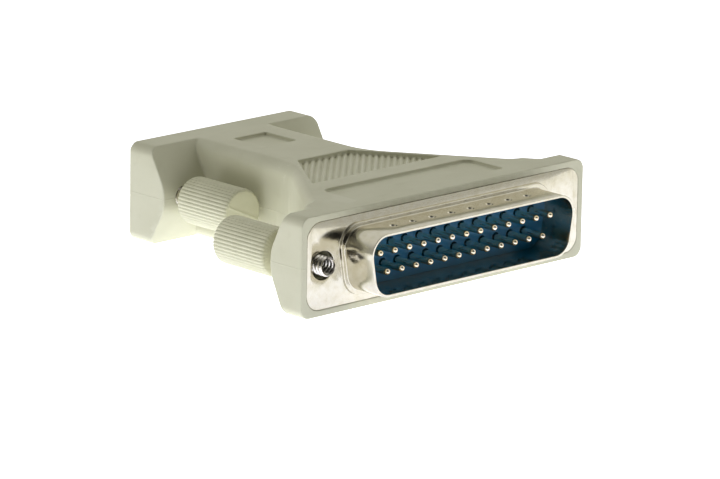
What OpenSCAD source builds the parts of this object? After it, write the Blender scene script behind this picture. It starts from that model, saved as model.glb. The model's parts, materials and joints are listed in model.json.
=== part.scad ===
// Moulded serial adapter: 25-way D-sub plug to 9-way D-sub socket, four thumbscrews.
// X runs along the pin rows, -Y is the mating direction of the 25-way plug, +Z is up.
// The origin is the middle of the 25-way flange plate, on its front face; Z = 0 is mid height.

// Which node to build ("all" for the whole object)

/* [Moulded body] */
// Height of both end blocks and of the middle
body_h = 14.5; // [12:0.1:18]
// Distance between the two mating faces of the moulding
body_len = 48.6; // [40:0.1:60]
// Rim of the 25-way end block beyond each end of its flange plate
wide_rim = 1.03; // [0.5:0.01:3]
// Rim of the 9-way end block beyond each end of its flange plate
narrow_rim = 0.9; // [0.4:0.005:3]
// Width of the neck
neck_w = 16; // [12:0.1:17]
// Corner radius of the end blocks
corner_r = 1.5; // [0.5:0.1:3]
// Radius along the long edges of the neck
edge_r = 1.7; // [0.5:0.1:3]
// Ear thickness of the 25-way end at the top and bottom edge
wide_ear_edge = 3.7; // [3:0.1:6]
// Ear thickness of the 25-way end at mid height
wide_ear_mid = 6.4; // [4:0.1:9]
// Ear thickness of the 9-way end at the top and bottom edge
narrow_ear_edge = 4.3; // [3:0.1:6]
// Ear thickness of the 9-way end at mid height
narrow_ear_mid = 7.5; // [4:0.1:9]
// Where the straight neck ends, from the 25-way face
neck_end = 27.4; // [24:0.1:32]
// Radius of the bend from the neck into the flare
flare_r = 11; // [6:0.5:20]
// Angle of the flare to the neck
flare_angle = 35.6; // [20:0.1:50]

/* [Recesses in the top] */
// Width of the small window recess
window_w = 6.3; // [3:0.1:9]
// Length of the small window recess
window_l = 6.6; // [3:0.1:9]
// Distance of the window from the 25-way face
window_y = 34.2; // [30:0.1:38]
// Depth of the window recess
window_depth = 0.5; // [0.2:0.05:1.5]
// Width of the grip recess at its narrow end
grip_w_back = 10; // [6:0.1:12]
// Width of the grip recess at its wide end
grip_w_front = 25.2; // [15:0.1:28]
// Distance of the wide end of the grip recess from the 25-way face
grip_y_front = 14; // [11:0.1:18]
// Distance of its narrow end from the 25-way face
grip_y_back = 25.2; // [20:0.1:30]
// Depth of the grip recess
grip_depth = 0.85; // [0.3:0.05:1.5]
// Spacing of the grip ribs
rib_pitch = 0.9; // [0.6:0.05:2]
// Radius of a grip rib
rib_r = 0.33; // [0.2:0.01:0.6]
// Width of the shallow recess by the 25-way end
label_w = 28.8; // [20:0.1:36]
// Its near edge, from the 25-way face
label_y_front = 3.2; // [1:0.1:5]
// Its far edge, from the 25-way face
label_y_back = 10.4; // [7:0.1:12]
// Its depth
label_depth = 0.45; // [0.2:0.05:1]

/* [D-sub connectors] */
// Spacing of the contacts along a row
contact_pitch = 2.77; // [2.74:0.01:2.8]
// Distance between the two rows
row_gap = 2.84; // [2.8:0.01:2.9]
// Diameter of a plug pin
pin_d = 1.02; // [1:0.01:1.04]
// Diameter of a pin inside the insulator
pin_root_d = 1.4; // [1.35:0.05:1.7]
// How far the pin tips stand out from the flange plate
pin_out = 4.6; // [4:0.1:5.6]
// Thickness of the flange plates
plate_t = 0.6; // [0.4:0.05:1]
// Height of both flange plates
plate_h = 12.55; // [12:0.01:13]
// Corner radius of the flange plates
plate_r = 2.3; // [1:0.1:3]
// From the outer plug pins to the inside of the 25-way shell
shell25_margin = 2.86; // [2.6:0.01:3.2]
// From the inside of the 25-way shell to the middle of each screw
screw25_gap = 4.04; // [3.8:0.01:4.6]
// From the middle of a screw to the end of the 25-way flange plate
plate25_end = 3; // [2.6:0.01:3.5]
// From the outer socket contacts to the outside of the 9-way shell
shell9_margin = 2.625; // [2.3:0.005:2.9]
// From the outside of the 9-way shell to the middle of each screw
screw9_gap = 4.33; // [3.6:0.01:4.8]
// From the middle of a screw to the end of the 9-way flange plate
plate9_end = 2.91; // [2.6:0.01:3.5]
// Hole for the screws in the flange plates
screw_hole_d = 4.1; // [3.05:0.05:4.5]
// Inside height of the 25-way shell
shell25_h = 8.36; // [8.2:0.01:8.5]
// How far the 25-way shell stands out
shell25_out = 5.9; // [5.7:0.05:6.1]
// Outside height of the 9-way shell
shell9_h = 7.9; // [7.7:0.01:8]
// How far the 9-way shell stands out
shell9_out = 6; // [5.8:0.05:6.2]
// Sheet thickness of both shells
shell_t = 0.38; // [0.25:0.01:0.5]
// Corner radius inside the 25-way shell
shell_r = 2.6; // [2:0.1:3]
// Slope of the short sides of the shells
shell_slope = 10; // [9:0.5:11]
// Overhang of the raised bead round the base of the 25-way shell
bead_w = 0.65; // [0.3:0.05:1]
// Height of that bead
bead_h = 0.45; // [0.2:0.05:0.8]
// Dimples on each long side of the 25-way shell
dimples = 8; // [4:1:10]
// Spacing of the dimples
dimple_pitch = 3.74; // [3:0.01:5]
// Bore of a socket contact
socket_bore = 1.1; // [1.05:0.01:1.2]
// Outside diameter of a socket contact
socket_d = 1.7; // [1.5:0.05:1.9]

/* [Thumbscrews] */
// Diameter of a knob over its ridges
knob_d = 7; // [5.5:0.1:8]
// Length of a knob
knob_len = 10.3; // [8:0.1:15]
// Ridges round a knob
knob_ridges = 40; // [16:1:48]
// Depth of the grooves between them
groove = 0.22; // [0.1:0.01:0.4]
// Rounding round the plain rim at the free end of a knob
knob_rim_r = 0.4; // [0.2:0.05:1]
// Gap between a knob and its ear
knob_gap = 2.3; // [0.5:0.1:4]
// Major diameter of the screw thread
screw_d = 2.84; // [2.8:0.01:2.9]
// How far the screw end stands out of the flange plate
screw_out = 1.3; // [0:0.1:4]
// Clearance round the turning screw
turn_clear = 0.07; // [0.02:0.01:0.1]
// Clearance between fixed pieces
fit_clear = 0.01; // [0.005:0.005:0.05]

/* [Hidden] */
$fn = 48;
top_z = body_h / 2;
past = 2;                  // cuts run this far past the surface that they open
shell25_w = 12 * contact_pitch + 2 * shell25_margin;
screw25_span = shell25_w + 2 * screw25_gap;
plate25_w = screw25_span + 2 * plate25_end;
wide_w = plate25_w + 2 * wide_rim;
shell9_w = 4 * contact_pitch + 2 * shell9_margin;
screw9_span = shell9_w + 2 * screw9_gap;
plate9_w = screw9_span + 2 * plate9_end;
narrow_w = plate9_w + 2 * narrow_rim;
rib_root = 0.15;           // the ribs' ends run this far into the walls of the grip recess
insul_face = 0.3;          // insulator face stands this far out of the plate
insul_back = 4.6;          // depth of the insulators behind the plate face
insul_lip = 0.7;           // the insulator's back stands this far beyond its shell
insul25_w = shell25_w + 2 * insul_lip;
insul_h = shell25_h + 2 * insul_lip;
insul9_w = shell9_w + 2 * insul_lip;
guide_len = 3.2;           // length of the wide part of the screw passage
screw_in_knob = 8;
knob_rim = 0.5;            // length of that rim past the ridges
rim_d = knob_d - 2 * groove - 0.1;   // it starts just inside the grooves
bend_len = flare_r * sin(flare_angle);
root_r = 1.4;              // hollow between the flare and the ear
root_y = wide_ear_mid + 0.9;
middle_start = 2.5;        // the middle begins this deep inside each end block
crown_z = 1.6;             // height at which an ear's slope would reach its full thickness
crown_b = 1.2;             // the bend there reaches this far each way
middle_ys = concat([middle_start], [for (k = [5:-1:0]) root_y - root_r * 0.999 * sin(18 * k)],
    [for (k = [6:-1:0]) neck_end - flare_r * sin(flare_angle * k / 6)],
    [body_len - middle_start]);
chamfer = 0.35;
dimple_r = 0.45;
pin_tip = 0.38;
pin_shoulder = 0.1;
shell9_in_w = shell9_w - 2 * shell_t;
shell9_in_h = shell9_h - 2 * shell_t;

function two(i) = i < 10 ? str("0", i) : str(i);
// Outline of a D-sub shell: w and h over the wide side, r in the corners
function d_outline(w, h, r, n = 8) = let (
        ct = w / 2 - r, cb = ct - (h - 2 * r) * tan(shell_slope),
        right = concat(
            [for (k = [0:n]) let (a = 90 - k * (90 + shell_slope) / n)
                [ct + r * cos(a), h / 2 - r + r * sin(a)]],
            [for (k = [0:n]) let (a = -shell_slope - k * (90 - shell_slope) / n)
                [cb + r * cos(a), r - h / 2 + r * sin(a)]]))
    concat(right, [for (k = [len(right) - 1:-1:0]) [-right[k][0], right[k][1]]]);
// Places of the contacts, [x, z] from the middle of the connector
function contacts(top) = concat(
    [for (i = [0:top - 1]) [(i - (top - 1) / 2) * contact_pitch, row_gap / 2]],
    [for (i = [0:top - 2]) [(i - (top - 2) / 2) * contact_pitch, -row_gap / 2]]);

// [name, x, face y, direction out of the face, ear thickness] of each thumbscrew
SCREWS = [
    ["25_left", -screw25_span / 2, 0, -1, wide_ear_mid],
    ["25_right", screw25_span / 2, 0, -1, wide_ear_mid],
    ["9_left", -screw9_span / 2, body_len, 1, narrow_ear_mid],
    ["9_right", screw9_span / 2, body_len, 1, narrow_ear_mid]];

// Puts a shape drawn in X and Z at depth y0 and makes it len long towards +Y
module along_y(y0, len) {
    translate([0, y0 + len, 0]) rotate([90, 0, 0]) linear_extrude(height = len) children();
}
// Cylinder along Y between y0 and y1
module rod_y(x, z, y0, y1, d) {
    translate([x, y1, z]) rotate([90, 0, 0]) cylinder(h = y1 - y0, d = d);
}
// Block along Y with rounded corners
module rounded_block(w, h, r, y0, len) {
    translate([-w / 2, y0, r - h / 2]) cube([w, len, h - 2 * r]);
    translate([r - w / 2, y0, -h / 2]) cube([w - 2 * r, len, h]);
    for (sx = [-1, 1], sz = [-1, 1])
        rod_y(sx * (w / 2 - r), sz * (h / 2 - r), y0, y0 + len, 2 * r);
}
module d_prism(w, h, r, y0, len) {
    along_y(y0, len) polygon(d_outline(w, h, r));
}

// End block whose ears are thickest at mid height; its face is at y = 0, its back towards +Y
module end_block(w, t_edge, t_mid) {
    slope = (t_mid - t_edge) / (top_z - crown_z);
    bend = [for (k = [0:4]) let (a = pow(1 - k / 4, 2), b = pow(k / 4, 2))
        [t_mid - crown_b * slope * a, crown_z + crown_b * (a - b)]];
    intersection() {
        rounded_block(w, body_h, corner_r, 0, t_mid);
        translate([-w / 2 - past, 0, 0]) rotate([90, 0, 90]) linear_extrude(height = w + 2 * past)
            polygon(concat([[0, -top_z], [t_edge, -top_z]], [for (p = bend) [p[0], -p[1]]],
                           [for (k = [4:-1:0]) bend[k]], [[t_edge, top_z], [0, top_z]]));
    }
}

// Half width of the middle at distance y from the 25-way face: neck, bend, flare, root
function half_width(y) = let (bend = max(0, min(neck_end - y, bend_len)),
        straight = max(0, neck_end - bend_len - y), root = max(0, root_y - y))
    neck_w / 2 + flare_r - sqrt(pow(flare_r, 2) - pow(bend, 2)) + straight * tan(flare_angle)
    + root_r - sqrt(max(0, pow(root_r, 2) - pow(min(root, root_r), 2)));
// Rounded section of the middle at y, counted round from the top right corner
function section(y, n = 6) = [for (q = [0:3], k = [0:n]) let (a = 90 * q + 90 * k / n,
        sx = q == 0 || q == 3 ? 1 : -1, sz = q < 2 ? 1 : -1)
    [sx * (half_width(y) - edge_r) + edge_r * cos(a), y,
     sz * (top_z - edge_r) + edge_r * sin(a)]];
// Neck and flare between the two end blocks, as one lofted shape
module middle() {
    rings = [for (y = middle_ys) section(y)];
    n = len(rings[0]);
    m = len(rings);
    polyhedron(points = [for (r = rings, p = r) p], faces = concat(
        [[for (k = [n - 1:-1:0]) k]],
        [[for (k = [0:n - 1]) (m - 1) * n + k]],
        [for (j = [0:m - 2], k = [0:n - 1]) let (k2 = (k + 1) % n)
            [j * n + k, j * n + k2, (j + 1) * n + k2, (j + 1) * n + k]]));
}

// Diagonal ribs on the floor of the grip recess; their ends run into its walls
module grip_ribs() {
    floor_z = top_z - grip_depth;
    y_mid = (grip_y_front + grip_y_back) / 2;
    rib_len = grip_w_front + grip_y_back - grip_y_front;
    ribs = ceil(rib_len / sqrt(8) / rib_pitch);
    intersection() {
        translate([0, 0, floor_z - past / 2]) linear_extrude(height = past) grip_outline(rib_root);
        translate([0, y_mid, floor_z]) rotate([0, 0, -45]) for (i = [-ribs:ribs])
            translate([i * rib_pitch, 0, 0]) rotate([90, 0, 0])
                cylinder(h = rib_len, r = rib_r, center = true, $fn = 24);
    }
}
// Outline of the grip recess, out wider on every side
module grip_outline(out = 0) {
    back = grip_w_back / 2 + out;
    front = grip_w_front / 2 + out;
    polygon([[-back, grip_y_back + out], [back, grip_y_back + out],
             [front, grip_y_front - out], [-front, grip_y_front - out]]);
}
module label_recess() {
    r = 1.5;
    len = label_y_back - label_y_front;
    translate([0, label_y_front, top_z - label_depth]) {
        translate([-label_w / 2, 0, 0]) cube([label_w, len - r, past]);
        translate([-label_w / 2 + r, 0, 0]) cube([label_w - 2 * r, len, past]);
        for (s = [-1, 1]) translate([s * (label_w / 2 - r), len - r, 0])
            cylinder(h = past, r = r);
    }
}

// One moulding round both connectors
module body_moulding() color("#c3c2a4") {
    difference() {
        union() {
            end_block(wide_w, wide_ear_edge, wide_ear_mid);
            translate([0, body_len, 0]) mirror([0, 1, 0])
                end_block(narrow_w, narrow_ear_edge, narrow_ear_mid);
            middle();
        }
        // seats of the two connectors
        rounded_block(plate25_w, plate_h, plate_r, -past, past + plate_t);
        rounded_block(plate9_w, plate_h, plate_r, body_len - plate_t, plate_t + past);
        along_y(0, insul_back) square([insul25_w, insul_h], center = true);
        along_y(body_len - insul_back, insul_back) square([insul9_w, insul_h], center = true);
        // passages of the four screws
        for (s = SCREWS) {
            wide_end = s[2] - s[3] * guide_len;
            ear_back = s[2] - s[3] * (s[4] + 1);
            rod_y(s[1], 0, min(s[2], wide_end), max(s[2], wide_end), screw_hole_d);
            rod_y(s[1], 0, min(s[2], ear_back), max(s[2], ear_back), screw_d + 2 * turn_clear);
        }
        // recesses in the top
        translate([-window_w / 2, window_y, top_z - window_depth])
            cube([window_w, window_l, past]);
        translate([0, 0, top_z - grip_depth]) linear_extrude(height = past) grip_outline();
        label_recess();
    }
    grip_ribs();
}

// Plated steel shell of the 25-way plug
module shell_25() color("#d9d4c8") {
    out_w = shell25_w + 2 * shell_t;
    out_h = shell25_h + 2 * shell_t;
    difference() {
        union() {
            rounded_block(plate25_w - 2 * fit_clear, plate_h - 2 * fit_clear, plate_r, 0, plate_t);
            d_prism(out_w + 2 * bead_w, out_h + 2 * bead_w, shell_r + bead_w, -bead_h, bead_h + 0.1);
            d_prism(out_w, out_h, shell_r + shell_t, -shell25_out, shell25_out + 0.1);
        }
        d_prism(shell25_w, shell25_h, shell_r, -shell25_out - 1, shell25_out + plate_t + 2);
        for (s = [-1, 1]) rod_y(s * screw25_span / 2, 0, -1, plate_t + 1, screw_hole_d);
        // dimples in the long sides
        for (i = [0:dimples - 1], s = [-1, 1])
            translate([(i - (dimples - 1) / 2) * dimple_pitch, -shell25_out / 2,
                       s * (out_h / 2 + dimple_r * 0.45)]) sphere(r = dimple_r, $fn = 24);
    }
}
// Blue insulator of the plug
module insulator_25() color("#0b4f73") difference() {
    union() {
        d_prism(shell25_w - 2 * fit_clear, shell25_h - 2 * fit_clear, shell_r, -insul_face,
                insul_face + plate_t);
        along_y(plate_t, insul_back - plate_t)
            square([insul25_w - 2 * fit_clear, insul_h - 2 * fit_clear], center = true);
    }
    for (c = contacts(13))
        rod_y(c[0], c[1], -past, insul_back + past, pin_root_d + 2 * fit_clear);
}
// Plug pin number i: a thicker root in the insulator, a shoulder at its face, a rounded tip
module pin_25(i) color("#d8cfae") {
    c = contacts(13)[i - 1];
    face = insul_back + insul_face;
    r = pin_d / 2;
    translate([c[0], insul_back, c[1]]) rotate([90, 0, 0]) rotate_extrude() {
        polygon([[0, 0], [pin_root_d / 2, 0], [pin_root_d / 2, face - pin_shoulder], [r, face],
                 [r, insul_back + pin_out - pin_tip], [0, insul_back + pin_out - pin_tip]]);
        translate([0, insul_back + pin_out - pin_tip]) {
            square([r - pin_tip, pin_tip]);
            intersection() {
                translate([r - pin_tip, 0]) circle(r = pin_tip);
                translate([r - pin_tip, 0]) square(pin_tip);
            }
        }
    }
}

// Plated steel shell of the 9-way socket
module shell_9() color("#d9d4c8") difference() {
    union() {
        rounded_block(plate9_w - 2 * fit_clear, plate_h - 2 * fit_clear, plate_r,
                      body_len - plate_t, plate_t);
        d_prism(shell9_w, shell9_h, shell_r, body_len - 0.1, shell9_out + 0.1);
    }
    d_prism(shell9_in_w, shell9_in_h, shell_r - shell_t, body_len - 2, shell9_out + 4);
    for (s = [-1, 1])
        rod_y(s * screw9_span / 2, 0, body_len - plate_t - 1, body_len + 1, screw_hole_d);
}
// Insulator of the socket, which fills its shell
module insulator_9() color("#0b4f73") difference() {
    union() {
        d_prism(shell9_in_w - 2 * fit_clear, shell9_in_h - 2 * fit_clear, shell_r - shell_t,
                body_len - plate_t, plate_t + shell9_out - 0.1);
        along_y(body_len - insul_back, insul_back - plate_t)
            square([insul9_w - 2 * fit_clear, insul_h - 2 * fit_clear], center = true);
    }
    for (c = contacts(5)) {
        rod_y(c[0], c[1], body_len - insul_back - 1, body_len + shell9_out - 0.5,
              socket_d + 2 * fit_clear);
        rod_y(c[0], c[1], body_len, body_len + shell9_out + 1, socket_bore + 0.1);
    }
}
// Socket contact number i: a tube, closed at the back
module contact_9(i) color("#d8c27a") {
    c = contacts(5)[i - 1];
    difference() {
        rod_y(c[0], c[1], body_len - insul_back, body_len + shell9_out - 0.5, socket_d);
        rod_y(c[0], c[1], body_len - 1, body_len + shell9_out, socket_bore);
    }
}

// Moves a shape drawn along +Z, with the mating face at z = 0 and the knob above, to screw s
module at_screw(s) {
    translate([s[1], s[2], 0]) rotate([90 * s[3], 0, 0]) children();
}
// Knob with straight ridges and a flat end, open for the screw at its base
module knob(s) color("#dcdcc6") at_screw(s) {
    base = s[4] + knob_gap;
    r = knob_d / 2;
    n = knob_ridges;
    difference() {
        union() {
            translate([0, 0, base]) linear_extrude(height = knob_len - knob_rim)
                polygon([for (i = [0:n - 1], p = [[-0.3, 0], [0.3, 0], [0.42, 1], [0.58, 1]])
                    let (a = (i + p[0]) * 360 / n, d = r - groove * p[1]) [d * cos(a), d * sin(a)]]);
            translate([0, 0, base + knob_len - knob_rim]) rotate_extrude() {
                square([rim_d / 2, knob_rim - knob_rim_r]);
                square([rim_d / 2 - knob_rim_r, knob_rim]);
                translate([rim_d / 2 - knob_rim_r, knob_rim - knob_rim_r]) intersection() {
                    circle(r = knob_rim_r);
                    square(knob_rim_r);
                }
            }
        }
        translate([0, 0, base - past])
            cylinder(h = screw_in_knob + past, d = screw_d + 2 * fit_clear);
    }
}
// Steel screw from just outside the flange plate into the knob
module screw(s) color("#cfcabd") at_screw(s) rotate_extrude() polygon([
    [0, -screw_out], [screw_d / 2 - chamfer, -screw_out], [screw_d / 2, chamfer - screw_out],
    [screw_d / 2, s[4] + knob_gap + screw_in_knob], [0, s[4] + knob_gap + screw_in_knob]]);

body_moulding();
shell_25();
insulator_25();
shell_9();
insulator_9();
for (i = [1:25]) pin_25(i);
for (i = [1:9]) contact_9(i);
for (s = SCREWS) knob(s);
for (s = SCREWS) screw(s);
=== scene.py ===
import json
import math

import bpy
from mathutils import Matrix, Vector

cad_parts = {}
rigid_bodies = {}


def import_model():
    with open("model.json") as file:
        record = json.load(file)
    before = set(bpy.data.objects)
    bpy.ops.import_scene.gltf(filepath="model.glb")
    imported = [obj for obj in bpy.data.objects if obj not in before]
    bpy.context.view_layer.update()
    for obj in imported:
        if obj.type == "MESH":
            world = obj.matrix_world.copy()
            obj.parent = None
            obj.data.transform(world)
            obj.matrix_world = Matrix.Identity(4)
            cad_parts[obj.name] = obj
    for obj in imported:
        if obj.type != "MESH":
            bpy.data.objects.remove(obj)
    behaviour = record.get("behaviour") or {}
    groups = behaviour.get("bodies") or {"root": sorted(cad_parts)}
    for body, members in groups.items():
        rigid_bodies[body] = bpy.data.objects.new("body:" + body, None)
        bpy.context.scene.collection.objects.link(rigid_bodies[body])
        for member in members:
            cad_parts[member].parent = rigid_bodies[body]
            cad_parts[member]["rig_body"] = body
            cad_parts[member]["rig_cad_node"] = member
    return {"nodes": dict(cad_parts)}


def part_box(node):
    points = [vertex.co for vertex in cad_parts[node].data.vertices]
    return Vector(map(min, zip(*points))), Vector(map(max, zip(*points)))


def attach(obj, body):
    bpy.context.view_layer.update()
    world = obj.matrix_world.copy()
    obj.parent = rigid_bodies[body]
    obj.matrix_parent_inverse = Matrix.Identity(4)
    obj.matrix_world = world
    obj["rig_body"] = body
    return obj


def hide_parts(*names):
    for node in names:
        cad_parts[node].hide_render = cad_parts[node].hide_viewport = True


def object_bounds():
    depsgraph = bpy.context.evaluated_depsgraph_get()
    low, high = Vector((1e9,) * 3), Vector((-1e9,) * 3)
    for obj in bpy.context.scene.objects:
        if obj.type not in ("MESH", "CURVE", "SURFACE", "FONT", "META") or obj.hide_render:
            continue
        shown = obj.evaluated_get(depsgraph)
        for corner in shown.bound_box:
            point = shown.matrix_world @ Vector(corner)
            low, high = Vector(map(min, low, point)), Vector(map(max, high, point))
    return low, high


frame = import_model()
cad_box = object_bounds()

MM = 0.001

# Moulding: the grid that its softened skin is drawn on, how often the skin is relaxed, how many
# triangles it keeps, and how slightly it is drawn in to stay inside the CAD box
SKIN_GRID = 0.12 * MM
SKIN_RELAXING = 4
SKIN_FACES = 190000
SKIN_FIT = 0.9999

# Shells: the flange plate, the bead round the plug's shell, and their edges
PLATE = 0.6 * MM
BEAD = 0.45 * MM
LIP_EDGE = 0.07 * MM
BEAD_EDGE = 0.14 * MM
PLATE_EDGE = 0.12 * MM
DIMPLES = 8
DIMPLE_PITCH = 3.74 * MM
DIMPLE_WIDTH = 0.45 * MM
DIMPLE_SWELL = 1.4

# Plug pins: the stem, the slope of the shoulder, and the tip with the rings that round it
PIN = 1.02 * MM
PIN_SIDES = 28
PIN_SHOULDER = 0.1 * MM
PIN_TIP = 0.75 * MM
TIP_RINGS = 9
TIP_POINT = 0.06
# How far the shoulder lies behind the front face of the flange plate
SHOULDER_DEPTH = 0.3 * MM

# Thumbscrew knobs: the ridges, then the steps of the base and of the free end, each with its
# distance from that end in millimetres and its share of the full width
RIDGES = 40
RIDGE_POINTS = 6
RIDGE_PROFILE = (1.0, 0.6, 0.12)
GROOVE = 0.09 * MM
BASE_STEPS = ((0.0, 0.9), (0.12, 0.955), (0.35, 0.99), (0.6, 1.0))
END_STEPS = ((0.4, 1.0), (0.18, 0.975), (0.05, 0.94), (0.0, 0.905))
SEAM_WIDTH = 0.34 * MM
SEAM_HEIGHT = 0.09 * MM
SEAM_REACH = 0.7
SEAM_TAPER = (0.99, 0.4)
CAP_WIDTH = 0.96
# How deep the screw sits in the knob, and the room round it
SCREW_GRIP = 8 * MM
SCREW_ROOM = 0.02 * MM
# How far each knob has been turned, in degrees
KNOB_TURNS = {"25_left": 38, "25_right": -14, "9_left": -25, "9_right": 61}

# Screw thread: forty turns to the inch, and the root, flank, crest and flank of one turn, each
# with its step outwards and its share of the pitch
PITCH = 0.635 * MM
THREAD_DEPTH = 0.36 * MM
THREAD_PROFILE = ((0, 0.16), (THREAD_DEPTH, 0.34), (0, 0.14), (-THREAD_DEPTH, 0.36))
SCREW_SIDES = 56
TIP_CHAMFER = 0.3 * MM

# Edges that turn by more than this many degrees are sharp
SHARP = 35

# Camera, and the soft lights round the table: where each lies, how strong it is, and how
# squarely a direction has to face it to catch its first and its full light
CAMERA_PLACE = Vector((-0.54366, -0.54997, 0.20102))
CAMERA_AIM = Vector((-0.00871, 0.0082, -0.00042))
CAMERA_ROLL = math.radians(1.004)
CAMERA_LENS = 284.61
LEAST_LIGHT = 0.02
LIGHTS = (
    ((0.64, 0.66, 0.40), 0.85, -0.1, 0.75),
    ((-0.88, 0.35, 0.32), 0.5, 0.45, 0.95),
    ((-0.69, -0.62, 0.37), 1.3, 0.98, 0.992),
    ((0.70, -0.66, 0.27), 0.6, 0.7, 0.95),
)


# ---------------------------------------------------------------- shaping by hand

def pick_none():
    if bpy.context.object and bpy.context.object.mode != "OBJECT":
        bpy.ops.object.mode_set(mode="OBJECT")
    bpy.ops.object.select_all(action="DESELECT")


def take_up(piece):
    """Makes piece the one that the next operators act on."""
    pick_none()
    piece.select_set(True)
    bpy.context.view_layer.objects.active = piece


def select(piece, kind, test):
    """Selects the points or faces of piece that pass test, and stays in edit mode."""
    bpy.ops.object.mode_set(mode="EDIT")
    bpy.ops.mesh.select_mode(type=kind)
    bpy.ops.mesh.select_all(action="DESELECT")
    bpy.ops.object.mode_set(mode="OBJECT")
    mesh = piece.data
    if kind == "FACE":
        for face in mesh.polygons:
            face.select = test(face.center, face.normal)
    else:
        for point in mesh.vertices:
            point.select = test(point.co, point.index)
    bpy.ops.object.mode_set(mode="EDIT")


def soften(piece, width, segments, test):
    """Rounds the sharp edges of piece whose middle and direction pass test."""
    take_up(piece)
    bpy.ops.object.mode_set(mode="EDIT")
    bpy.ops.mesh.select_mode(type="EDGE")
    bpy.ops.mesh.select_all(action="DESELECT")
    bpy.ops.mesh.edges_select_sharp(sharpness=math.radians(SHARP))
    bpy.ops.object.mode_set(mode="OBJECT")
    mesh = piece.data
    for edge in mesh.edges:
        if edge.select:
            first, second = [mesh.vertices[v].co for v in edge.vertices]
            edge.select = test((first + second) / 2, (second - first).normalized())
    bpy.ops.object.mode_set(mode="EDIT")
    bpy.ops.mesh.bevel(offset=width, offset_type="OFFSET", segments=segments)
    bpy.ops.object.mode_set(mode="OBJECT")


def widen(across, along=None):
    """Scales what is selected about the Z axis, by along in Y where that differs."""
    bpy.ops.transform.resize(value=(across, along or across, 1), center_override=(0, 0, 0))


def grow(step, scale=1.0):
    """Extrudes what is selected by step, then scales it about the Z axis."""
    bpy.ops.mesh.extrude_region_move(TRANSFORM_OT_translate={"value": step})
    if scale != 1.0:
        widen(scale)


def merged_copy(node, name, flatten=True):
    """A copy of a CAD node as one joined surface, its flat regions undivided."""
    source = frame["nodes"][node]
    piece = source.copy()
    piece.data = source.data.copy()
    piece.name = piece.data.name = name
    piece.parent = None
    piece.matrix_world = Matrix.Identity(4)
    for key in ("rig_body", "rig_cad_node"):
        del piece[key]
    bpy.context.scene.collection.objects.link(piece)
    take_up(piece)
    bpy.ops.mesh.customdata_custom_splitnormals_clear()
    bpy.ops.object.mode_set(mode="EDIT")
    bpy.ops.mesh.select_all(action="SELECT")
    bpy.ops.mesh.remove_doubles(threshold=0.002 * MM)
    if flatten:
        bpy.ops.mesh.dissolve_limited(angle_limit=math.radians(1), delimit={"NORMAL"})
    bpy.ops.object.mode_set(mode="OBJECT")
    return piece


def alter(piece, kind, name, **settings):
    """Adds a modifier with these settings and applies it."""
    take_up(piece)
    change = piece.modifiers.new(name, kind)
    for key, value in settings.items():
        setattr(change, key, value)
    bpy.ops.object.modifier_apply(modifier=name)


def smooth(piece, angle):
    take_up(piece)
    bpy.ops.object.shade_smooth_by_angle(angle=math.radians(angle))


def settle(piece):
    """Puts the object's place, turn and scale into its mesh."""
    take_up(piece)
    bpy.ops.object.transform_apply(location=True, rotation=True, scale=True)


def outward(piece):
    take_up(piece)
    bpy.ops.object.mode_set(mode="EDIT")
    bpy.ops.mesh.select_all(action="SELECT")
    bpy.ops.mesh.remove_doubles(threshold=0.0005 * MM)
    bpy.ops.mesh.normals_make_consistent(inside=False)
    bpy.ops.object.mode_set(mode="OBJECT")


def copy_at(model, name, matrix):
    """A copy of model with its own mesh, moved and turned by matrix."""
    piece = model.copy()
    piece.data = model.data.copy()
    piece.name = piece.data.name = name
    bpy.context.scene.collection.objects.link(piece)
    piece.matrix_world = matrix
    settle(piece)
    return piece


def place(piece, body, nodes, finish):
    """Gives a finished piece its material and its CAD body, and hides the nodes that it stands for.
    """
    piece.data.materials.clear()
    piece.data.materials.append(finish)
    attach(piece, body)
    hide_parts(*nodes)


# ---------------------------------------------------------------- materials

class Value:
    """A shader socket whose sums are written as Python: each sign adds a Math node."""

    def __init__(self, finish, socket):
        self.finish = finish
        self.socket = socket

    def math(self, operation, left, right):
        return self.finish.node("Math", {"operation": operation}, {0: left, 1: right})

    def __add__(self, other):
        return self.math("ADD", self, other)

    def __sub__(self, other):
        return self.math("SUBTRACT", self, other)

    def __rsub__(self, other):
        return self.math("SUBTRACT", other, self)

    def __mul__(self, other):
        return self.math("MULTIPLY", self, other)

    __radd__ = __add__
    __rmul__ = __mul__

    def between(self, low, high):
        """Rises smoothly from 0 at low to 1 at high."""
        return self.finish.node("MapRange", {"interpolation_type": "SMOOTHSTEP"},
                                {"Value": self, "From Min": low, "From Max": high})


class Nodes:
    """A shader tree that is written one call a node."""

    def __init__(self, tree):
        self.tree = tree
        self.tree.nodes.clear()

    def node(self, kind, settings=None, inputs=None, output=0):
        node = self.tree.nodes.new("ShaderNode" + kind)
        for name, value in (settings or {}).items():
            setattr(node, name, value)
        for name, value in (inputs or {}).items():
            if isinstance(value, Value):
                self.tree.links.new(value.socket, node.inputs[name])
            else:
                node.inputs[name].default_value = value
        return Value(self, node.outputs[output] if node.outputs else None)


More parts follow.
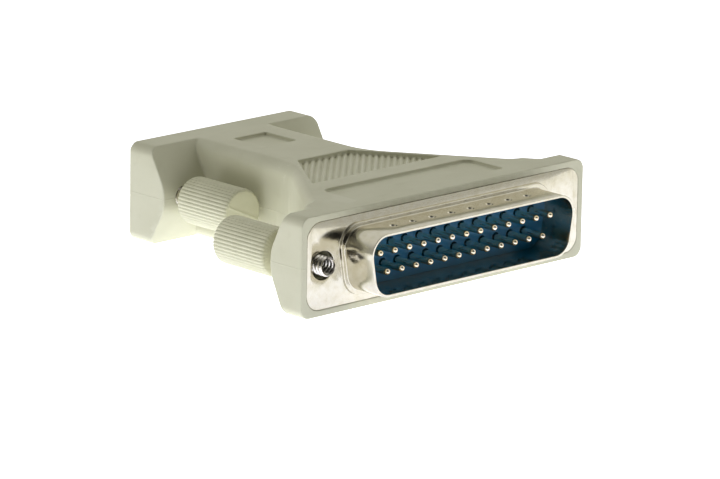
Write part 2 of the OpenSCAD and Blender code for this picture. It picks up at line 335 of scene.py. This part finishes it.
class Finish(Nodes):
    """A material, built up from its nodes."""

    def __init__(self, name):
        self.material = bpy.data.materials.new(name)
        self.material.use_nodes = True
        super().__init__(self.material.node_tree)
        self.spot = self.node("TexCoord", output="Object")

    def noise(self, size, detail=3.0, roughness=0.5, spot=None):
        """Noise whose features are about size metres across."""
        return self.node("TexNoise", {}, {"Vector": spot or self.spot, "Scale": 1 / size,
                                          "Detail": detail, "Roughness": roughness})

    def stretched(self, x, y, z):
        """The spot with each direction shrunk by a factor, for streaks."""
        return self.node("Mapping", {}, {"Vector": self.spot, "Scale": (x, y, z)})

    def blend(self, share, first, second):
        return self.node("Mix", {"data_type": "RGBA"},
                         {0: share, 6: first, 7: second}, output=2)

    def along(self, axis):
        """How far the spot lies along an axis, X, Y or Z."""
        return self.node("SeparateXYZ", {}, {0: self.spot}, output=axis)

    def bump(self, height, distance):
        return self.node("Bump", {}, {"Height": height, "Distance": distance})

    def surface(self, inputs):
        shader = self.node("BsdfPrincipled", {}, inputs)
        self.node("OutputMaterial", {}, {"Surface": shader})
        return self.material


def vinyl():
    """Beige moulded vinyl, mottled, with painted shade in its hollows and a painted highlight along
    its edges.
    """
    f = Finish("moulded_vinyl")
    cloud = f.noise(7 * MM, detail=4)
    grain = f.noise(0.22 * MM, detail=3, roughness=0.6)
    flow = f.noise(1.6 * MM, detail=5, spot=f.stretched(0.35, 1, 1))
    colour = f.blend(cloud.between(0.3, 0.7), (0.655, 0.647, 0.495, 1), (0.69, 0.682, 0.53, 1))
    colour = f.blend(flow.between(0.55, 0.8) * 0.25, colour, (0.575, 0.565, 0.41, 1))
    bend = f.node("NewGeometry", output="Pointiness")
    # painted shade: the colour darkens towards a dull brown in hollows, creases and recess corners,
    # where shade falls
    colour = f.blend(0.5 - 0.5 * bend.between(0.36, 0.485), colour, (0.27, 0.25, 0.14, 1))
    # painted highlight: the colour turns paler along convex edges
    colour = f.blend(0.4 * bend.between(0.51, 0.58), colour, (0.76, 0.75, 0.61, 1))
    level = f.node("Math", {"operation": "ABSOLUTE"}, {0: f.along("Z")})
    line = 1 - level.between(0.03 * MM, 0.1 * MM)
    return f.surface({
        "Base Color": colour,
        "Roughness": 0.46 + 0.14 * grain + 0.06 * flow,
        "Normal": f.bump(0.35 * grain + 0.5 * flow + 1.2 * line, 0.02 * MM),
        "IOR": 1.48,
        "Specular IOR Level": 0.4,
    })


def ivory():
    """Ivory plastic of the knobs, finer and a little paler than the moulding."""
    f = Finish("knob_ivory_plastic")
    cloud = f.noise(3 * MM, detail=3)
    grain = f.noise(0.15 * MM, detail=3, roughness=0.6)
    colour = f.blend(cloud.between(0.3, 0.7), (0.665, 0.655, 0.48, 1), (0.705, 0.695, 0.52, 1))
    return f.surface({
        "Base Color": colour,
        "Roughness": 0.42 + 0.12 * grain,
        "Normal": f.bump(grain + 0.6 * cloud, 0.01 * MM),
        "IOR": 1.5,
        "Specular IOR Level": 0.45,
    })


def nickel():
    """Nickel plate on pressed steel: bright, softly waved by the press, finely specked."""
    f = Finish("nickel_plate")
    wave = f.noise(3.2 * MM, detail=1)
    haze = f.noise(1.1 * MM, detail=3, roughness=0.5)
    speck = f.noise(0.16 * MM, detail=2, roughness=0.5)
    colour = f.blend(haze.between(0.35, 0.75), (0.65, 0.622, 0.525, 1), (0.60, 0.565, 0.45, 1))
    colour = f.blend(speck.between(0.66, 0.78) * 0.45, colour, (0.33, 0.29, 0.21, 1))
    return f.surface({
        "Base Color": colour,
        "Metallic": 1.0,
        "Roughness": 0.12 + 0.1 * haze + 0.12 * speck.between(0.6, 0.8),
        "Normal": f.bump(wave + 0.05 * haze, 0.03 * MM),
    })


def steel():
    """Bright plated steel of the screws."""
    f = Finish("screw_plate")
    haze = f.noise(0.3 * MM, detail=4, roughness=0.6)
    colour = f.blend(haze.between(0.35, 0.75), (0.80, 0.78, 0.73, 1), (0.64, 0.60, 0.52, 1))
    return f.surface({
        "Base Color": colour,
        "Metallic": 1.0,
        "Roughness": 0.16 + 0.14 * haze,
        "Normal": f.bump(haze, 0.006 * MM),
    })


def gold():
    """Thin gold over nickel on the contacts, worn paler in patches."""
    f = Finish("contact_gold_plate")
    wear = f.noise(0.8 * MM, detail=4, roughness=0.6)
    haze = f.noise(0.12 * MM, detail=3)
    colour = f.blend(wear.between(0.4, 0.65), (0.88, 0.78, 0.57, 1), (0.89, 0.86, 0.78, 1))
    return f.surface({
        "Base Color": colour,
        "Metallic": 1.0,
        "Roughness": 0.13 + 0.1 * haze,
        "Normal": f.bump(haze, 0.004 * MM),
    })


def blue_plastic():
    """Glossy deep blue plastic of the insulators."""
    f = Finish("insulator_blue_plastic")
    cloud = f.noise(4 * MM, detail=3)
    grain = f.noise(0.5 * MM, detail=3, roughness=0.5)
    colour = f.blend(cloud.between(0.3, 0.7), (0.001, 0.13, 0.27, 1), (0.002, 0.155, 0.31, 1))
    return f.surface({
        "Base Color": colour,
        "Roughness": 0.16 + 0.12 * grain,
        "Normal": f.bump(0.5 * grain + cloud, 0.01 * MM),
        "IOR": 1.5,
    })


# ---------------------------------------------------------------- pieces

def moulded_body(finish):
    """The moulding, its every edge softened as it leaves the mould."""
    body = merged_copy("body_moulding", "moulded_body", flatten=False)
    alter(body, "REMESH", "skin", mode="VOXEL", voxel_size=SKIN_GRID, use_smooth_shade=True)
    alter(body, "SMOOTH", "relaxing", factor=0.5, iterations=SKIN_RELAXING)
    share = SKIN_FACES / (2 * len(body.data.polygons))
    alter(body, "DECIMATE", "thinning", ratio=min(1, share), use_collapse_triangulate=True)
    smooth(body, 60)
    body.scale = [SKIN_FIT] * 3
    settle(body)
    place(body, "root", ["body_moulding"], finish)


def deepen_dimples(shell, level):
    """Widens and deepens the press marks in the long sides of the plug's shell."""
    top = max(point.co.z for point in shell.data.vertices if abs(point.co.y - level) < 1 * MM)
    for i in range(DIMPLES):
        for side in (-1, 1):
            centre = Vector(((i - (DIMPLES - 1) / 2) * DIMPLE_PITCH, level, side * top))
            take_up(shell)
            select(shell, "VERT", lambda spot, index: (spot - centre).length < DIMPLE_WIDTH)
            bpy.ops.transform.resize(value=[DIMPLE_SWELL] * 3, center_override=centre)
            bpy.ops.object.mode_set(mode="OBJECT")


def shells(finish):
    """Both pressed shells, with their lips, beads, plate edges and screw holes rounded."""
    for node, out in (("shell_25", -1), ("shell_9", 1)):
        low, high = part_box(node)
        lip, back = (low.y, high.y) if out < 0 else (high.y, low.y)
        face = back + out * PLATE

        def at(level):
            return lambda spot, way: abs(spot.y - level) < 0.01 * MM and abs(way.y) < 0.1

        shell = merged_copy(node, "plated_" + node)
        soften(shell, LIP_EDGE, 3, at(lip))
        soften(shell, PLATE_EDGE, 2, at(face))
        if node == "shell_25":
            soften(shell, BEAD_EDGE, 4, at(face + out * BEAD))
            deepen_dimples(shell, lip / 2)
        smooth(shell, 40)
        place(shell, "root", [node], finish)


def pin_model(root):
    """A plug pin along +Z from its root at Z = 0, with a shoulder and a bullet tip."""
    low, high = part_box("pin_25_01")
    length = high.y - low.y
    shoulder = high.y - SHOULDER_DEPTH
    pick_none()
    bpy.ops.mesh.primitive_circle_add(vertices=PIN_SIDES, radius=root, fill_type="NGON")
    pin = bpy.context.object
    bpy.ops.object.mode_set(mode="EDIT")
    bpy.ops.mesh.select_all(action="SELECT")
    grow((0, 0, shoulder))
    grow((0, 0, PIN_SHOULDER), PIN / 2 / root)
    grow((0, 0, length - PIN_TIP - shoulder - PIN_SHOULDER))
    width = 1.0
    for k in range(1, TIP_RINGS + 1):
        share = k / TIP_RINGS
        wanted = max(TIP_POINT, (1 - share ** 2.4) ** 0.55)
        grow((0, 0, PIN_TIP / TIP_RINGS), wanted / width)
        width = wanted
    outward(pin)
    smooth(pin, 50)
    return pin


def pins(finish):
    low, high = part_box("pin_25_01")
    model = pin_model((high.x - low.x) / 2)
    forwards = Matrix.Rotation(math.radians(90), 4, "X")
    for node in sorted(n for n in frame["nodes"] if n.startswith("pin_25_")):
        low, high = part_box(node)
        root = Vector(((low.x + high.x) / 2, high.y, (low.z + high.z) / 2))
        pin = copy_at(model, "plug_" + node, Matrix.Translation(root) @ forwards)
        place(pin, "root", [node], finish)
    bpy.data.objects.remove(model)


def knob_model(radius, length, bore):
    """A ridged knob along +Z from its base, with a flat seamed end and a bore in its base."""
    pick_none()
    bpy.ops.mesh.primitive_circle_add(vertices=RIDGES * RIDGE_POINTS, radius=radius,
                                      fill_type="NGON")
    knob = bpy.context.object
    middle = RIDGE_POINTS // 2
    for step, share in enumerate(RIDGE_PROFILE):
        wanted = {middle - step, (middle + step) % RIDGE_POINTS}
        select(knob, "VERT", lambda spot, index: index % RIDGE_POINTS in wanted)
        widen(1 - share * GROOVE / radius)
    bpy.ops.mesh.select_all(action="SELECT")
    width = BASE_STEPS[0][1]
    widen(width)
    spot = 0
    ends = [(rise * MM, share) for rise, share in BASE_STEPS[1:]]
    ends += [(length - left * MM, share) for left, share in END_STEPS]
    for reach, share in ends:
        grow((0, 0, reach - spot), share / width)
        spot = reach
        width = share
    grow((0, 0, 0), CAP_WIDTH)
    bpy.ops.transform.tosphere(value=1)

    # the mould's seam across the end
    def on_end(spot, normal):
        level = spot.z > length - 0.001 * MM and abs(normal.z) > 0.5
        return level and spot.xy.length < radius * SEAM_REACH

    for side in (-1, 1):
        select(knob, "FACE", on_end)
        bpy.ops.mesh.bisect(plane_co=(0, side * SEAM_WIDTH / 2, 0), plane_no=(0, 1, 0))
    select(knob, "FACE", lambda spot, normal: on_end(spot, normal) and abs(spot.y) < SEAM_WIDTH / 4)
    grow((0, 0, SEAM_HEIGHT))
    widen(*SEAM_TAPER)

    # the bore that the screw sits in
    select(knob, "FACE", lambda spot, normal: spot.z < 0.001 * MM and spot.xy.length < 0.01 * MM)
    grow((0, 0, 0), bore / (radius * BASE_STEPS[0][1]))
    bpy.ops.transform.tosphere(value=1)
    grow((0, 0, SCREW_GRIP))
    outward(knob)
    smooth(knob, 38)
    return knob


def screw_model(radius, length):
    """A threaded rod along +Z from its chamfered tip at Z = 0."""
    pick_none()
    core = radius - THREAD_DEPTH
    bpy.ops.mesh.primitive_plane_add(size=1)
    thread = bpy.context.object
    # the one corner that stays lies half the plane's size from its middle, each way
    select(thread, "VERT", lambda spot, index: index > 0)
    bpy.ops.mesh.delete(type="VERT")
    bpy.ops.mesh.select_all(action="SELECT")
    bpy.ops.transform.translate(value=(core + 0.5, 0.5, -2 * PITCH))
    for out, rise in THREAD_PROFILE:
        grow((out, 0, rise * PITCH))
    bpy.ops.object.mode_set(mode="OBJECT")
    alter(thread, "SCREW", "winding", axis="Z", angle=math.tau, screw_offset=PITCH,
          iterations=math.ceil(length / PITCH) + 4, steps=SCREW_SIDES // 2,
          render_steps=SCREW_SIDES // 2, use_merge_vertices=False)
    bpy.ops.object.mode_set(mode="EDIT")
    bpy.ops.mesh.select_all(action="SELECT")
    bpy.ops.mesh.remove_doubles(threshold=0.001 * MM)
    for end, facing in ((-PITCH / 3, -1), (length + PITCH / 3, 1)):
        bpy.ops.mesh.select_all(action="SELECT")
        bpy.ops.mesh.bisect(plane_co=(0, 0, end), plane_no=(0, 0, facing), use_fill=True,
                            clear_outer=True)
    outward(thread)

    pick_none()
    bpy.ops.mesh.primitive_cylinder_add(vertices=SCREW_SIDES, radius=radius, depth=length,
                                        location=(0, 0, length / 2))
    rod = bpy.context.object
    settle(rod)
    soften(rod, TIP_CHAMFER, 1, lambda spot, way: spot.z < length / 2)
    alter(rod, "BOOLEAN", "thread", operation="INTERSECT", solver="EXACT", object=thread)
    bpy.data.objects.remove(thread)
    smooth(rod, 32)
    return rod


def thumbscrews(knob_finish, screw_finish):
    """The four knobs and screws: one model of each, turned to face its connector."""
    low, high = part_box("knob_25_left")
    knob_radius = (high.x - low.x) / 2
    knob_length = high.y - low.y
    low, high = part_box("screw_9_left")
    screw_radius = (high.x - low.x) / 2
    knob = knob_model(knob_radius, knob_length, screw_radius + SCREW_ROOM)
    screw = screw_model(screw_radius, high.y - low.y)
    for end, turned in KNOB_TURNS.items():
        body = "thumbscrew_" + end
        plug_end = end.startswith("25")
        facing = Matrix.Rotation(math.radians(-90 if plug_end else 90), 4, "X")
        low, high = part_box("knob_" + end)
        base = Vector(((low.x + high.x) / 2, low.y if plug_end else high.y,
                       (low.z + high.z) / 2))
        turn = Matrix.Rotation(math.radians(turned), 4, "Z")
        piece = copy_at(knob, "thumb_knob_" + end, Matrix.Translation(base) @ facing @ turn)
        place(piece, body, ["knob_" + end], knob_finish)

        low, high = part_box("screw_" + end)
        tip = Vector((base.x, low.y if plug_end else high.y, base.z))
        hidden_end = Vector((base.x, high.y if plug_end else low.y, base.z))
        piece = copy_at(screw, "thumb_screw_" + end, Matrix.Translation(tip) @ facing)
        take_up(piece)
        bpy.ops.object.mode_set(mode="EDIT")
        bpy.ops.mesh.select_all(action="SELECT")
        bpy.ops.mesh.bisect(plane_co=hidden_end, plane_no=(hidden_end - tip).normalized(),
                            use_fill=True, clear_outer=True)
        bpy.ops.object.mode_set(mode="OBJECT")
        place(piece, body, ["screw_" + end], screw_finish)
    bpy.data.objects.remove(knob)
    bpy.data.objects.remove(screw)


def dress(prefix, finish):
    """Gives the CAD nodes whose names start with prefix their finish."""
    for name, piece in frame["nodes"].items():
        if name.startswith(prefix):
            for slot in piece.material_slots:
                slot.material = finish


# ---------------------------------------------------------------- studio

def camera():
    data = bpy.data.cameras.new("camera")
    data.lens = CAMERA_LENS
    data.sensor_width = 36
    data.clip_start = 0.01
    data.clip_end = 20
    eye = bpy.data.objects.new("camera", data)
    bpy.context.scene.collection.objects.link(eye)
    eye.location = CAMERA_PLACE
    facing = (CAMERA_AIM - CAMERA_PLACE).to_track_quat("-Z", "Y").to_matrix().to_4x4()
    turned = facing @ Matrix.Rotation(CAMERA_ROLL, 4, "Z")
    eye.rotation_euler = turned.to_euler()
    bpy.context.scene.camera = eye


def studio():
    """A white table that glows, most brightly round the object, under a wide soft light that stands
    behind and over the object.
    """
    f = Finish("white_table")
    grain = f.noise(40 * MM, detail=2)
    # painted light: the table itself glows, in a bright bluish-white pool round the object that
    # fades to a dimmer grey further out
    away = f.node("VectorMath", {"operation": "DISTANCE"},
                  {0: f.spot, 1: (cad_box[0] + cad_box[1]) / 2}, output="Value")
    glow = f.blend(away.between(35 * MM, 120 * MM), (0.86, 0.88, 1, 1), (0.65, 0.65, 0.66, 1))
    sheet = f.surface({"Base Color": f.blend(grain, (0.84, 0.84, 0.85, 1), (0.88, 0.88, 0.89, 1)),
                       "Roughness": 0.7,
                       "Emission Color": glow, "Emission Strength": 1.24})
    pick_none()
    bpy.ops.mesh.primitive_plane_add(size=8, location=(0, 0, cad_box[0].z))
    floor = bpy.context.object
    floor.name = "floor"
    settle(floor)
    floor.data.materials.append(sheet)

    world = bpy.data.worlds.new("studio")
    bpy.context.scene.world = world
    world.use_nodes = True
    w = Nodes(world.node_tree)
    way = w.node("TexCoord", output="Generated")
    level = LEAST_LIGHT
    for place_of_light, strength, first, full in LIGHTS:
        facing = w.node("VectorMath", {"operation": "DOT_PRODUCT"},
                        {0: way, 1: place_of_light}, output="Value")
        level = level + strength * facing.between(first, full)
    sky = w.node("Background", {}, {"Color": (1, 1, 0.97, 1), "Strength": level})
    w.node("OutputWorld", {}, {"Surface": sky})
    bpy.context.scene.view_settings.view_transform = "Standard"
    bpy.context.scene.view_settings.gamma = 0.85


# ---------------------------------------------------------------- the whole adapter

camera()
studio()
moulded_body(vinyl())
shells(nickel())
contact_plate = gold()
pins(contact_plate)
dress("contact_9_", contact_plate)
dress("insulator_", blue_plastic())
thumbscrews(ivory(), steel())
